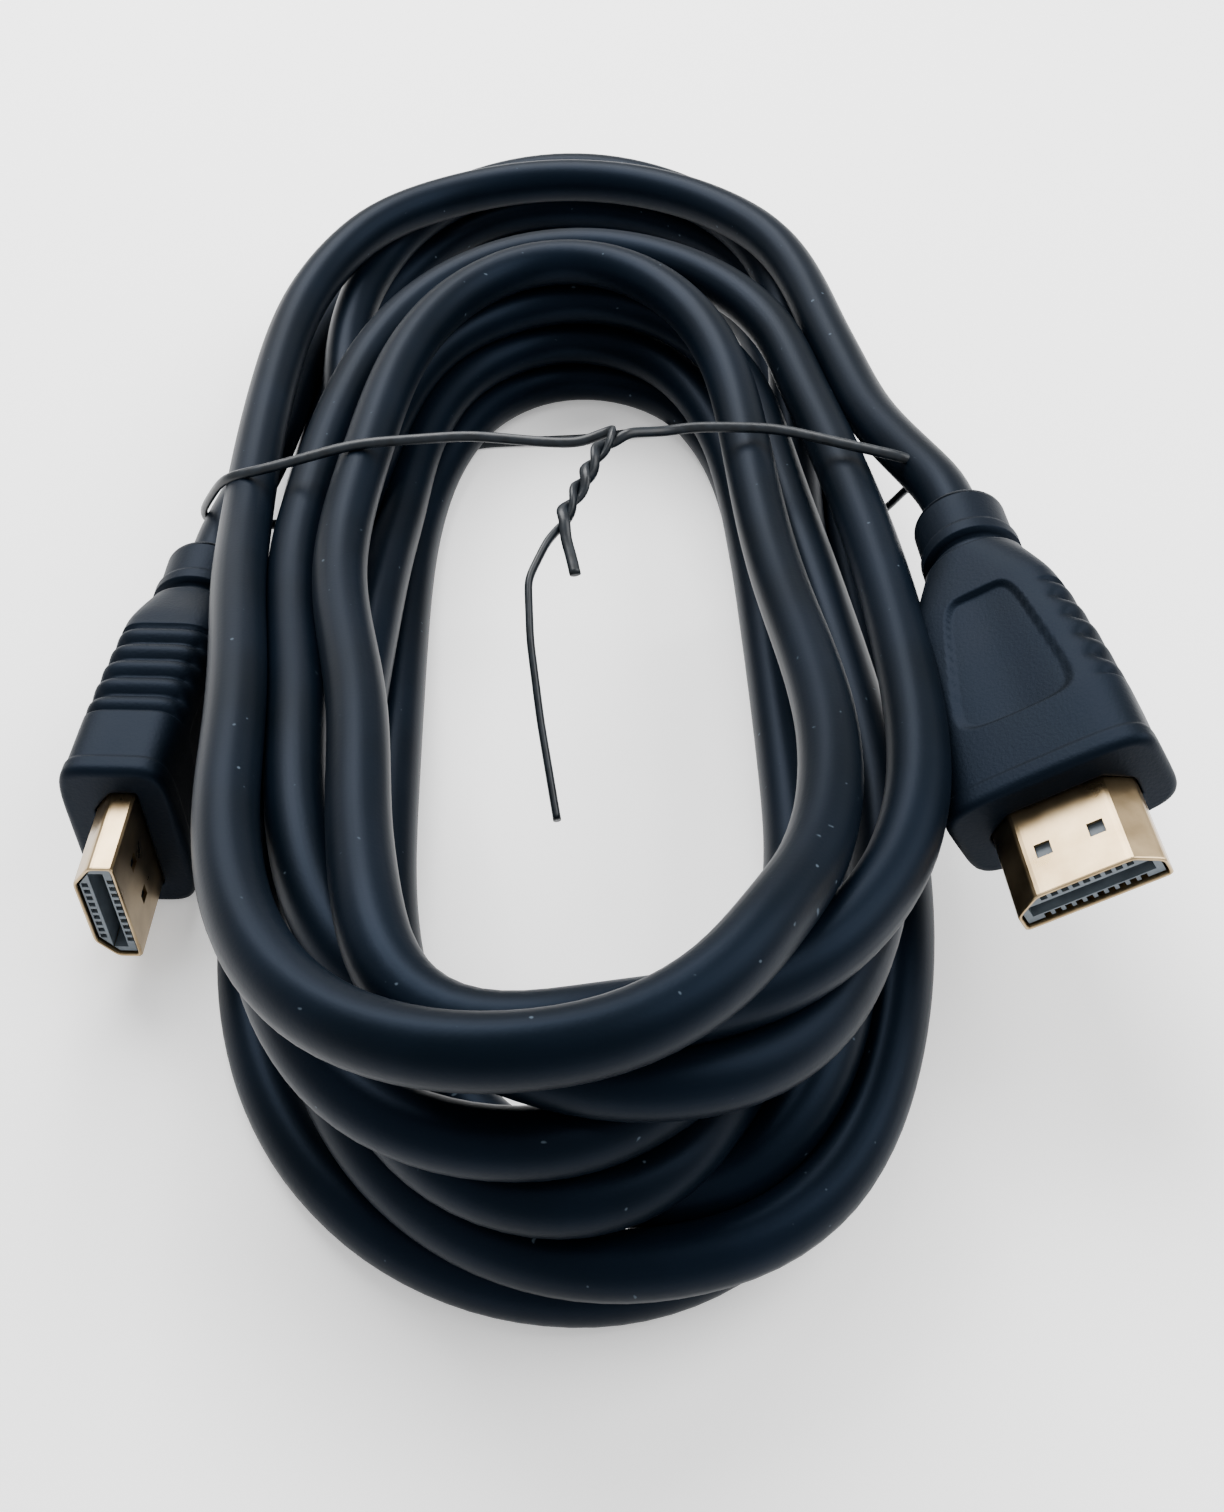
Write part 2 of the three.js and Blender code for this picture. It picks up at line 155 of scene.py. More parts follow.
# half width of the grip, and the power of its squared oval, at distances behind its front face
GRIP_WIDTHS = ((0, 10.1), (9, 9.9), (16, 9.3), (23, 8.3), (27, 7.5), (31, 6.2), (33, 5.6))
GRIP_SQUARENESS = ((0, 5.5), (26, 4.5), (33, 2.2))

# wire tie: a flat coated wire; (height, y) down its sides, (x, y) along its lower and upper runs
TIE_D = 1.3
TIE_FLATNESS = 0.68
TIE_Y = 4.0
TIE_SIDES = 14
TIE_STEP = 0.5
TIE_RISE_REACH = 9.0
TIE_LOW = 4
TIE_MIDDLE = 12
TIE_HIGH = 20
# half the distance between the two strands of the twist, in wire thicknesses
TIE_PAIR = 0.52
TIE_SLANT = ((0, 12), (9, 6), (14, 3), (20, 0.5))
TIE_LOWER_RUN = ((-48, 12), (-42, 15), (-31, 24), (-19, 34), (-2, 35.2), (3, 36.5), (14, 38),
                 (24, 26), (31, 12))
TIE_UPPER_RUN = ((-40, -0.3), (-32, 0.6), (-16, 2.2), (-5, 0.2), (2, 0.8), (10, 3.2), (20, 2.6), (34, -3.5))
TIE_KNOT_X = 1.7
TIE_TWIST = ((1.7, 0.6, 26.2), (-1.2, -3.5, 25.6), (-2.4, -7.5, 25.0), (-4.2, -11.5, 24.4), (-4.7, -14, 24.0))
TIE_TWIST_PITCH = 7.0
TIE_SHORT_TAIL = ((-3.2, -20.4, 22.2), (-3.7, -18, 22.9), (-4.4, -15.6, 23.7))
TIE_LONG_TAIL = ((-6.4, -16.6, 23.6), (-8.3, -21.6, 22.5), (-7.9, -28.6, 20), (-6.7, -36.6, 16),
                 (-4.8, -47, 12))

# stage: half the floor in metres, where the soft lamps aim, and each lamp's name, place, size and watts
FLOOR_HALF = 3.0
FLOOR_GLOW = 0.34
LAMP_AIM = (0, 0, 20)
LAMPS = (
    ("key_soft", (-150, 330, 480), 420, 8.0),
    ("fill_soft", (380, 40, 420), 400, 3.5),
)


# meshes

def place(points):
    """Millimetres to the metres of the part's frame."""
    return np.asarray(points, float) * 0.001


def grid_faces(rows, cols, wrap_rows=False):
    """Quads of a grid of rows whose columns close on themselves; the rows close too if wrap_rows."""
    r = np.arange(rows if wrap_rows else rows - 1)[:, None]
    c = np.arange(cols)[None, :]
    r2, c2 = (r + 1) % rows, (c + 1) % cols
    quads = np.stack([r * cols + c, r * cols + c2, r2 * cols + c2, r2 * cols + c], axis=-1)
    return quads.reshape(-1, 4)


def add_mesh(name, points, faces, material, smooth=True):
    """New piece from points in millimetres; it rides on the part and takes its finish from the slot."""
    mesh = bpy.data.meshes.new(name)
    mesh.from_pydata(place(points).tolist(), [], [list(map(int, f)) for f in faces])
    mesh.polygons.foreach_set("use_smooth", np.full(len(mesh.polygons), smooth))
    mesh.materials.append(material)
    mesh.update()
    piece = bpy.data.objects.new(name, mesh)
    bpy.context.scene.collection.objects.link(piece)
    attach(piece, "root")
    return piece


def ring_frames(path):
    """Side and up vectors across a path, carried along it with as little turning as possible."""
    along = np.gradient(path, axis=0)
    along /= np.linalg.norm(along, axis=1)[:, None]
    side = np.empty_like(path)
    seed = np.cross(along[0], (0.0, 0.0, 1.0))
    if np.linalg.norm(seed) < 0.1:
        seed = np.cross(along[0], (0.0, 1.0, 0.0))
    side[0] = seed / np.linalg.norm(seed)
    for i in range(1, len(path)):
        s = side[i - 1] - along[i] * side[i - 1].dot(along[i])
        side[i] = s / np.linalg.norm(s)
    return side, np.cross(side, along)


def swept(path, radius, sides, flat=1.0):
    """Tube: ring i is path[i] + radius (cos a side + flat sin a up), with domed ends closed by a fan."""
    side, up = ring_frames(path)
    a = np.linspace(0, 2 * np.pi, sides, endpoint=False)
    radius = np.broadcast_to(radius, len(path))
    ring = np.cos(a)[None, :, None] * side[:, None] + flat * np.sin(a)[None, :, None] * up[:, None]
    points = (path[:, None] + radius[:, None, None] * ring).reshape(-1, 3)
    faces = [tuple(f) for f in grid_faces(len(path), sides)[:, ::-1]]
    faces.append(tuple(range(sides)))
    last = (len(path) - 1) * sides
    faces.append(tuple(range(last + sides - 1, last - 1, -1)))
    return points, faces


def length_map(piece, path, sides):
    """UV map of a swept tube: turns round the tube, and metres along it."""
    metres = np.concatenate([[0], np.cumsum(np.linalg.norm(np.diff(path, axis=0), axis=1))]) * 0.001
    mesh = piece.data
    corner = np.empty(len(mesh.loops), int)
    mesh.loops.foreach_get("vertex_index", corner)
    start = np.empty(len(mesh.polygons), int)
    total = np.empty(len(mesh.polygons), int)
    mesh.polygons.foreach_get("loop_start", start)
    mesh.polygons.foreach_get("loop_total", total)
    ring, spoke = corner // sides, corner % sides
    u = spoke / sides
    owner = np.repeat(np.arange(len(total)), total)
    highest = np.maximum.reduceat(u, start)[owner]
    u = np.where((u == 0) & (highest > 0.75), 1.0, u)
    layer = mesh.uv_layers.new(name="length")
    layer.data.foreach_set("uv", np.column_stack([u, metres[ring]]).astype(np.float32).ravel())


# materials

def linear(code, alpha=1.0):
    """sRGB hex to linear colour."""
    parts = [int(code[i:i + 2], 16) / 255 for i in (1, 3, 5)]
    return tuple(c / 12.92 if c <= 0.04045 else ((c + 0.055) / 1.055) ** 2.4 for c in parts) + (alpha,)


def add_node(tree, kind, settings=None, **inputs):
    """Adds a node, sets its properties, and sets or links its inputs."""
    node = tree.nodes.new(kind)
    for key, value in (settings or {}).items():
        setattr(node, key, value)
    for key, value in inputs.items():
        socket = node.inputs[int(key[1:])] if key[0] == "_" else node.inputs[key.replace("_", " ")]
        if isinstance(value, bpy.types.NodeSocket):
            tree.links.new(value, socket)
        else:
            socket.default_value = value
    return node


def new_material(name):
    """Empty node material with its Principled shader; returns both and the tree."""
    material = bpy.data.materials.new(name)
    material.use_nodes = True
    tree = material.node_tree
    return material, tree, tree.nodes["Principled BSDF"]


def ramp(tree, factor, stops):
    """Colour ramp through (position, hex) stops."""
    node = add_node(tree, "ShaderNodeValToRGB", Fac=factor)
    elements = node.color_ramp.elements
    while len(elements) < len(stops):
        elements.new(0.5)
    for element, (position, code) in zip(elements, stops):
        element.position = position
        element.color = linear(code)
    return node.outputs["Color"]


def span(tree, value, low, high):
    """Value from 0 to 1 mapped to low to high."""
    node = add_node(tree, "ShaderNodeMapRange", None, Value=value, To_Min=low, To_Max=high)
    return node.outputs["Result"]


def extruded_pvc():
    """Soft PVC jacket, extruded: satin black with a cool cast, faint lengthwise die lines, dust specks.

    Scales are per metre: the 0.4 mm grain and 0.8 mm dust are coarser than the real ones, so that they show.
    """
    material, tree, shader = new_material("extruded_soft_pvc")
    place_on = add_node(tree, "ShaderNodeTexCoord")
    spot = place_on.outputs["Object"]
    along = add_node(tree, "ShaderNodeMapping", None, _0=place_on.outputs["UV"])
    along.inputs["Scale"].default_value = (40.0, 6.0, 1.0)
    lines = add_node(tree, "ShaderNodeTexNoise", None, Vector=along.outputs["Vector"], Scale=1.0, Detail=3.0)
    cloud = add_node(tree, "ShaderNodeTexNoise", None, Vector=spot, Scale=60.0, Detail=4.0)
    grain = add_node(tree, "ShaderNodeTexNoise", None, Vector=spot, Scale=2500.0, Detail=2.0)
    dust = add_node(tree, "ShaderNodeTexNoise", None, Vector=spot, Scale=1300.0, Detail=0.0)
    tone = ramp(tree, cloud.outputs["Fac"], [(0.3, "#02060b"), (0.7, "#050c15")])
    speck = add_node(tree, "ShaderNodeMapRange", None, Value=dust.outputs["Fac"], From_Min=0.85, From_Max=0.9)
    mix = add_node(tree, "ShaderNodeMix", {"data_type": "RGBA"}, _0=speck.outputs["Result"], _6=tone)
    mix.inputs[7].default_value = linear("#3a444d")
    tree.links.new(mix.outputs[2], shader.inputs["Base Color"])
    tree.links.new(span(tree, lines.outputs["Fac"], 0.36, 0.5), shader.inputs["Roughness"])
    height = add_node(tree, "ShaderNodeMix", None, _0=0.75, _2=lines.outputs["Fac"], _3=grain.outputs["Fac"])
    bump = add_node(tree, "ShaderNodeBump", None, Height=height.outputs[0], Strength=0.12, Distance=0.0001)
    tree.links.new(bump.outputs["Normal"], shader.inputs["Normal"])
    shader.inputs["IOR"].default_value = 1.5
    shader.inputs["Specular IOR Level"].default_value = 0.1
    shader.inputs["Specular Tint"].default_value = linear("#9fbdea")
    return material


def moulded_pvc():
    """Overmoulded PVC grip: matt black with the spark-eroded grain of its mould, drawn at 0.3 mm to show."""
    material, tree, shader = new_material("spark_grained_moulded_pvc")
    spot = add_node(tree, "ShaderNodeTexCoord").outputs["Object"]
    grain = add_node(tree, "ShaderNodeTexNoise", None, Vector=spot, Scale=3000.0, Detail=3.0)
    cloud = add_node(tree, "ShaderNodeTexNoise", None, Vector=spot, Scale=120.0, Detail=4.0)
    tone = ramp(tree, cloud.outputs["Fac"], [(0.3, "#03070c"), (0.7, "#070d15")])
    tree.links.new(tone, shader.inputs["Base Color"])
    tree.links.new(span(tree, cloud.outputs["Fac"], 0.46, 0.6), shader.inputs["Roughness"])
    bump = add_node(tree, "ShaderNodeBump", None, Height=grain.outputs["Fac"],
                    Strength=0.25, Distance=0.00012)
    tree.links.new(bump.outputs["Normal"], shader.inputs["Normal"])
    shader.inputs["IOR"].default_value = 1.5
    shader.inputs["Specular IOR Level"].default_value = 0.12
    shader.inputs["Specular Tint"].default_value = linear("#9fbdea")
    return material


def gilt_steel():
    """Folded sheet steel with a pale gilt plating, rolled grain along the plug and light handling marks."""
    material, tree, shader = new_material("gilt_plated_sheet_steel")
    spot = add_node(tree, "ShaderNodeTexCoord").outputs["Object"]
    rolled = add_node(tree, "ShaderNodeMapping", None, _0=spot)
    rolled.inputs["Scale"].default_value = (2600.0, 120.0, 2600.0)
    grain = add_node(tree, "ShaderNodeTexNoise", None, Vector=rolled.outputs["Vector"], Scale=1.0, Detail=3.0)
    cloud = add_node(tree, "ShaderNodeTexNoise", None, Vector=spot, Scale=260.0, Detail=5.0)
    tone = ramp(tree, cloud.outputs["Fac"], [(0.3, "#8f7a5a"), (0.7, "#b59f7c")])
    tree.links.new(tone, shader.inputs["Base Color"])
    shader.inputs["Metallic"].default_value = 1.0
    tree.links.new(span(tree, cloud.outputs["Fac"], 0.22, 0.38), shader.inputs["Roughness"])
    bump = add_node(tree, "ShaderNodeBump", None, Height=grain.outputs["Fac"],
                    Strength=0.08, Distance=0.00005)
    tree.links.new(bump.outputs["Normal"], shader.inputs["Normal"])
    return material


def glass_filled_plastic():
    """Grey glass-filled plastic of the contact carrier: dull, with a faint mottle."""
    material, tree, shader = new_material("grey_glass_filled_plastic")
    spot = add_node(tree, "ShaderNodeTexCoord").outputs["Object"]
    cloud = add_node(tree, "ShaderNodeTexNoise", None, Vector=spot, Scale=700.0, Detail=4.0)
    tone = ramp(tree, cloud.outputs["Fac"], [(0.3, "#49525a"), (0.7, "#5c666e")])
    tree.links.new(tone, shader.inputs["Base Color"])
    tree.links.new(span(tree, cloud.outputs["Fac"], 0.5, 0.65), shader.inputs["Roughness"])
    bump = add_node(tree, "ShaderNodeBump", None, Height=cloud.outputs["Fac"], Strength=0.1, Distance=0.00005)
    tree.links.new(bump.outputs["Normal"], shader.inputs["Normal"])
    return material


def gold_flash():
    """Gold flash over nickel on the spring contacts."""
    material, tree, shader = new_material("gold_flashed_contact")
    spot = add_node(tree, "ShaderNodeTexCoord").outputs["Object"]
    cloud = add_node(tree, "ShaderNodeTexNoise", None, Vector=spot, Scale=900.0, Detail=3.0)
    tone = ramp(tree, cloud.outputs["Fac"], [(0.3, "#b98a3e"), (0.7, "#dcb468")])
    tree.links.new(tone, shader.inputs["Base Color"])
    shader.inputs["Metallic"].default_value = 1.0
    tree.links.new(span(tree, cloud.outputs["Fac"], 0.25, 0.4), shader.inputs["Roughness"])
    return material


def coated_wire():
    """Black plastic skin of the tie, slightly glossy, creased where the wire was bent."""
    material, tree, shader = new_material("plastic_coated_tie_wire")
    spot = add_node(tree, "ShaderNodeTexCoord").outputs["Object"]
    crease = add_node(tree, "ShaderNodeTexNoise", None, Vector=spot, Scale=900.0, Detail=4.0)
    tone = ramp(tree, crease.outputs["Fac"], [(0.3, "#090e13"), (0.7, "#121920")])
    tree.links.new(tone, shader.inputs["Base Color"])
    tree.links.new(span(tree, crease.outputs["Fac"], 0.25, 0.45), shader.inputs["Roughness"])
    bump = add_node(tree, "ShaderNodeBump", None, Height=crease.outputs["Fac"], Strength=0.3, Distance=0.0001)
    tree.links.new(bump.outputs["Normal"], shader.inputs["Normal"])
    shader.inputs["Specular IOR Level"].default_value = 0.25
    return material


# cord

def quarter_turn(start, end, along_y, squareness, count=14):
    """Quarter of a squared oval: leaves start along y and reaches end along x, or the other way round."""
    a = np.linspace(0, np.pi / 2, count, endpoint=False)
    c, s = np.cos(a) ** (2 / squareness), np.sin(a) ** (2 / squareness)
    (x0, y0), (x1, y1) = start, end
    if along_y:
        return np.column_stack([x1 + (x0 - x1) * c, y0 + (y1 - y0) * s])
    return np.column_stack([x0 + (x1 - x0) * s, y1 + (y0 - y1) * c])


def side_run(ys, xs, count=8):
    """Two cubic stretches through three stations of a side, which leave and arrive along y."""
    slope = (xs[2] - xs[0]) / (ys[2] - ys[0])
    u = np.linspace(0, 1, count, endpoint=False)
    halves = []
    for i, (s0, s1) in enumerate(((0, slope), (slope, 0))):
        h = ys[i + 1] - ys[i]
        x = ((2 * u**3 - 3 * u**2 + 1) * xs[i] + (u**3 - 2 * u**2 + u) * h * s0
             + (3 * u**2 - 2 * u**3) * xs[i + 1] + (u**3 - u**2) * h * s1)
        halves.append(np.column_stack([x, ys[i] + h * u]))
    return halves


def laid_turns():
    """Middle line of the cord: each turn runs up the left side, round the far end and down the right side."""
    stretches, heights = [], []

    def lay(points, height):
        stretches.append(points)
        heights.append(height)

    for k, far in enumerate(FAR_END):
        left, right = LEFT_SIDE[k], RIGHT_SIDE[k]
        bend_y = far[1] - END_ROUND
        ys = (SIDE_NEAR_Y, (SIDE_NEAR_Y + bend_y) / 2, bend_y)
        up = side_run(ys, [p[0] for p in left])
        if k > 0:
            lay(up[0], left[0][1])
        lay(up[1], left[1][1])
        lay(quarter_turn((left[2][0], bend_y), far[:2], True, FAR_SQUARENESS), left[2][1])
        lay(quarter_turn(far[:2], (right[2][0], bend_y), False, FAR_SQUARENESS), far[2])
        down = side_run(ys[::-1], [p[0] for p in right[::-1]])
        lay(down[0], right[2][1])
        if k == len(FAR_END) - 1:
            break
        near = NEAR_END[k]
        lay(down[1], right[1][1])
        lay(quarter_turn((right[0][0], SIDE_NEAR_Y), near[:2], True, NEAR_SQUARENESS), right[0][1])
        next_left = (LEFT_SIDE[k + 1][0][0], SIDE_NEAR_Y)
        lay(quarter_turn(near[:2], next_left, False, NEAR_SQUARENESS), near[2])
    flat = np.vstack(stretches)
    starts = np.concatenate([[0], np.cumsum([len(s) for s in stretches])])[:-1]
    z = np.interp(np.arange(len(flat)), starts, heights)
    return np.column_stack([flat, z])


def even_steps(path, step):
    """Same line with its points a step apart."""
    length = np.concatenate([[0], np.cumsum(np.linalg.norm(np.diff(path, axis=0), axis=1))])
    count = max(2, int(round(length[-1] / step)) + 1)
    at = np.linspace(0, length[-1], count)
    return np.column_stack([np.interp(at, length, path[:, i]) for i in range(3)])


def soften(path, rounds):
    """Each point moves to the mean of its neighbours and itself, the ends excepted."""
    for _ in range(rounds):
        path[1:-1] = 0.25 * path[:-2] + 0.5 * path[1:-1] + 0.25 * path[2:]
    return path


def settle(path, pinned):
    """Strands that lie in each other are pushed a diameter apart, above the floor, the line kept smooth."""
    laid = path.copy()
    index = np.arange(len(path))
    apart = np.abs(index[:, None] - index[None, :]) * CORD_STEP > NEIGHBOUR_RUN
    for _ in range(SETTLE_ROUNDS):
        gap = path[:, None] - path[None, :]
        distance = np.linalg.norm(gap, axis=2) + 1e-9
        push = np.where(apart & (distance < CORD_D), (CORD_D - distance) / distance, 0.0)
        move = SETTLE_PUSH * (gap * push[:, :, None]).sum(axis=1)
        move[1:-1] += SETTLE_SMOOTH * (path[:-2] + path[2:] - 2 * path[1:-1])
        move += SETTLE_HOLD * (laid - path)
        move[pinned] = 0
        path = path + move
        path[:, 2] = np.maximum(path[:, 2], CORD_D / 2 + over_tie(path))
    return path


def over_tie(path):
    """How much the floor rises under the cord where the tie's lower run passes beneath."""
    run_y = np.interp(path[:, 0], *np.array(TIE_LOWER_RUN).T)
    return TIE_D * TIE_FLATNESS * np.exp(-((path[:, 1] - run_y) / TIE_RISE_REACH) ** 2)


def plug_axes(side):
    """Mouth point and the plug's own x, y and z directions as it lies; -y is the way it points."""
    plug = PLUGS[side]
    h, r = math.radians(plug["heading"]), math.radians(plug["roll"])
    along = np.array([-math.sin(h), math.cos(h), 0.0])
    level = np.array([math.cos(h), math.sin(h), 0.0])
    up = np.array([0.0, 0.0, 1.0])
    return (np.array(plug["mouth"]), level * math.cos(r) + up * math.sin(r), along,
            up * math.cos(r) - level * math.sin(r))


def lead_out(side, count=8):
    """Straight start of a lead: from inside the collar to a diameter and a half behind it."""
    mouth, _, along, _ = plug_axes(side)
    reach = np.linspace(REAR - LEAD_INSIDE_COLLAR, REAR + LEAD_STRAIGHT, count)
    return mouth + reach[:, None] * along


def cord_path():
    """Whole middle line: left plug, coil, right plug."""
    start, end = lead_out("left"), lead_out("right")[::-1]
    turns = laid_turns()
    first = np.argmax(turns[:, 1] > start[-1, 1] + LEAD_TO_TURN)
    last = len(turns) - np.argmax(turns[::-1, 1] > end[0, 1] + LEAD_TO_TURN)
    path = even_steps(np.vstack([start, turns[first:last], end]), CORD_STEP)
    path = soften(path, 8)
    pinned = np.zeros(len(path), bool)
    pinned[:5] = pinned[-5:] = True
    return even_steps(settle(path, pinned), CORD_MESH_STEP)


def make_cord(material):
    path = cord_path()
    soften(path, 2)
    points, faces = swept(path, CORD_D / 2, CORD_SIDES)
    cord = add_mesh("cable_cord", points, faces, material)
    length_map(cord, path, CORD_SIDES)
    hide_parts("cable_coil", "cable_lead_left", "cable_lead_right")
    return cord, path


# grips

def d_profile(angles, inset):
    """Radius at each angle of the shell's outline: a smooth blend of its six straight sides."""
    half, thick = SHELL_WIDE / 2, SHELL_THICK / 2
    shoulder = np.array([half, SHELL_SIDE - thick])
    corner = np.array([SHELL_NARROW / 2, thick])
    slope = np.array([corner[1] - shoulder[1], shoulder[0] - corner[0]])
    slope /= np.linalg.norm(slope)
    sides = [((0, -1), thick), ((0, 1), thick), ((1, 0), half), ((-1, 0), half),
             (slope, slope.dot(corner)), ((-slope[0], slope[1]), slope.dot(corner))]
    ray = np.column_stack([np.cos(angles), np.sin(angles)])
    reach = sum(np.maximum(0, ray @ np.array(n) / (d - inset)) ** CORNER_SHARPNESS for n, d in sides)
    return reach ** (-1 / CORNER_SHARPNESS)


def squared(angles, wide, thick, power):
    """Radius at each angle of a squared oval."""
    return (np.abs(np.cos(angles) / wide) ** power + np.abs(np.sin(angles) / thick) ** power) ** (-1 / power)


def step_up(v, low, high):
    """Smooth 0 to 1 between low and high."""
    u = np.clip((v - low) / (high - low), 0, 1)
    return u * u * (3 - 2 * u)


def grip_half_width(s):
    """Half width of the grip at s behind its front face."""
    at, half = np.array(GRIP_WIDTHS).T
    fine = np.interp(np.linspace(0, GRIP_LENGTH, 200), at, half)
    kernel = np.ones(15) / 15
    fine = np.convolve(np.pad(fine, 7, mode="edge"), kernel, mode="valid")
    return np.interp(s, np.linspace(0, GRIP_LENGTH, 200), fine)


def grip_body(angles, s):
    """Radius of the grip at each angle, s behind its front face.

    A squared oval that narrows to the neck, less the panel's depth inside a rounded outline on the wide
    faces, and less a cosine groove between the ribs on the narrow sides.
    """
    half = grip_half_width(s)
    neck = COLLAR_D / 2 + NECK_STEP
    thick = np.interp(s, [0, GRIP_NECK, GRIP_LENGTH], [GRIP_THICK / 2, GRIP_THICK / 2, neck])
    radius = squared(angles, half, thick, np.interp(s, *np.array(GRIP_SQUARENESS).T))
    x, z = radius * np.cos(angles), radius * np.sin(angles)
    panel_half = np.interp(s, PANEL_SPAN, PANEL_HALF)
    middle, reach = sum(PANEL_SPAN) / 2, (PANEL_SPAN[1] - PANEL_SPAN[0]) / 2
    power = PANEL_SQUARENESS
    inside = 1 - (np.abs(x / panel_half) ** power + np.abs((s - middle) / reach) ** power) ** (1 / power)
    panel = step_up(inside, 0, 0.05) * (np.abs(z) > thick - PANEL_FACE)
    ribbed = step_up(s, RIB_START, RIB_START + 0.3) * step_up(RIB_END - s, 0, 0.3)
    ribbed = ribbed * step_up(thick - 0.1 - np.abs(z), 0, 1.2)
    ridge = 0.5 - 0.5 * np.cos(2 * np.pi * (s - RIB_START) / RIB_PITCH)
    groove = ribbed * step_up(np.abs(x) / half, *RIB_REACH) * (1 - ridge ** 0.5)
    lip = LIP_RISE * step_up(LIP_LENGTH - s, 0, 0.3)
    return radius + lip - PANEL_DEPTH * panel * np.abs(np.sin(angles)) - RIB_DEPTH * groove


def grip_rows(angles):
    """Rows (y, radius) of the grip's skin, from inside the shell's pocket round to inside the cord's bore."""
    pocket = d_profile(angles, -POCKET_GAP)
    front, edge = SHELL_EXPOSED, GRIP_EDGE
    rows = [(front + 1.5, pocket), (front + 0.7, pocket), (front + 0.1, pocket)]
    rim = grip_body(angles, 0.0)
    for f in (0.03, 0.12, 0.3, 0.5, 0.7, 0.88, 0.97):
        rows.append((front, pocket + (rim - edge - pocket) * f))
    for a in np.linspace(0, np.pi / 2, 6):
        s = edge * (1 - np.cos(a))
        rows.append((front + s, grip_body(angles, s) - edge * (1 - np.sin(a))))
    for s in np.linspace(edge, GRIP_LENGTH, GRIP_RINGS)[1:]:
        rows.append((front + s, grip_body(angles, s)))
    collar = COLLAR_D / 2 - COLLAR_INSET
    for s in np.linspace(0, COLLAR_LENGTH - COLLAR_EDGE, COLLAR_RINGS)[1:]:
        groove = COLLAR_GROOVE * step_up(s, 0.9, 1.1) * step_up(2.1 - s, 0, 0.2)
        lip = COLLAR_LIP * step_up(s, 2.0, 2.2) * step_up(4.2 - s, 0, 0.5)
        rows.append((front + GRIP_LENGTH + s, np.full(len(angles), collar - groove + lip)))
    back = front + GRIP_LENGTH + COLLAR_LENGTH
    for a in np.linspace(0, np.pi / 2, 6):
        rows.append((back - COLLAR_EDGE * (1 - np.sin(a)),
                     np.full(len(angles), collar - COLLAR_EDGE * (1 - np.cos(a)))))
    bore = CORD_D / 2 + BORE_GAP
    for r in (4.0, bore + 0.3, bore):
        rows.append((back, np.full(len(angles), r)))
    rows.append((back - 1.5, np.full(len(angles), bore)))
    return rows


def polar_skin(rows, angles, side):
    """Closed skin from rows of (y, radius at each angle), laid where the plug lies."""
    mouth, px, py, pz = plug_axes(side)
    y = np.array([row[0] for row in rows])
    radius = np.array([row[1] for row in rows])
    x, z = radius * np.cos(angles), radius * np.sin(angles)
    points = mouth + x[..., None] * px + y[:, None, None] * py + z[..., None] * pz
    return points.reshape(-1, 3), grid_faces(len(rows), len(angles), wrap_rows=True)


def make_grip(side, material):
    angles = np.linspace(0, 2 * np.pi, GRIP_SIDES, endpoint=False)
    points, faces = polar_skin(grip_rows(angles), angles, side)
    grip = add_mesh(f"plug_grip_{side}_moulding", points, faces, material)
    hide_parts(f"plug_grip_{side}")
    return grip


# shells

def shell_rows(angles):
    """Rows (y, radius) of the shell's skin: outside from its seat to the mouth, round the rim, and inside."""
    long = SHELL_EXPOSED + SHELL_SEAT
    outer, inner = d_profile(angles, 0.0), d_profile(angles, SHELL_WALL)
    rows = [(y, outer) for y in np.linspace(long, SHELL_RIM, SHELL_RINGS)]
    middle, half = (outer + inner) / 2, (outer - inner) / 2
    for a in np.linspace(0, np.pi, 7)[1:-1]:
        rows.append((SHELL_RIM - SHELL_RIM * np.sin(a), middle + half * np.cos(a)))
    rows += [(y, inner) for y in np.linspace(SHELL_RIM, long, SHELL_RINGS)]
    return rows


def cut_windows(shell, side):
    """Cuts the two latch windows through both wide faces."""
    mouth, px, py, pz = plug_axes(side)
    boxes, faces = [], []
    corners = np.array([(i, j, k) for i in (-1, 1) for j in (-1, 1) for k in (-1, 1)], float)
    quads = [(0, 1, 3, 2), (4, 6, 7, 5), (0, 4, 5, 1), (2, 3, 7, 6), (0, 2, 6, 4), (1, 5, 7, 3)]
    for n, x in enumerate((-WINDOW_PITCH / 2, WINDOW_PITCH / 2)):
        size = corners * (WINDOW / 2, WINDOW / 2, SHELL_THICK)
        local = size + (x, WINDOW_SETBACK, 0)
        boxes.append(mouth + local[:, :1] * px + local[:, 1:2] * py + local[:, 2:] * pz)
        faces += [tuple(8 * n + v for v in quad) for quad in quads]
    mesh = bpy.data.meshes.new("window_cutter")
    mesh.from_pydata(place(np.vstack(boxes)).tolist(), [], faces)
    cutter = bpy.data.objects.new("window_cutter", mesh)
    bpy.context.scene.collection.objects.link(cutter)
    cut = shell.modifiers.new("windows", "BOOLEAN")
    cut.object = cutter
    cut.operation = "DIFFERENCE"
    cut.solver = "EXACT"
    bpy.context.view_layer.update()
    done = bpy.data.meshes.new_from_object(shell.evaluated_get(bpy.context.evaluated_depsgraph_get()))
    shell.modifiers.clear()
    shell.data = done
    bpy.data.objects.remove(cutter)


def make_shell(side, material):
    angles = np.linspace(0, 2 * np.pi, SHELL_SIDES, endpoint=False)
    points, faces = polar_skin(shell_rows(angles), angles, side)
    shell = add_mesh(f"plug_shell_{side}_sheet", points, faces[:, ::-1], material, smooth=False)
    cut_windows(shell, side)
    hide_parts(f"plug_shell_{side}")
    return shell


# tie

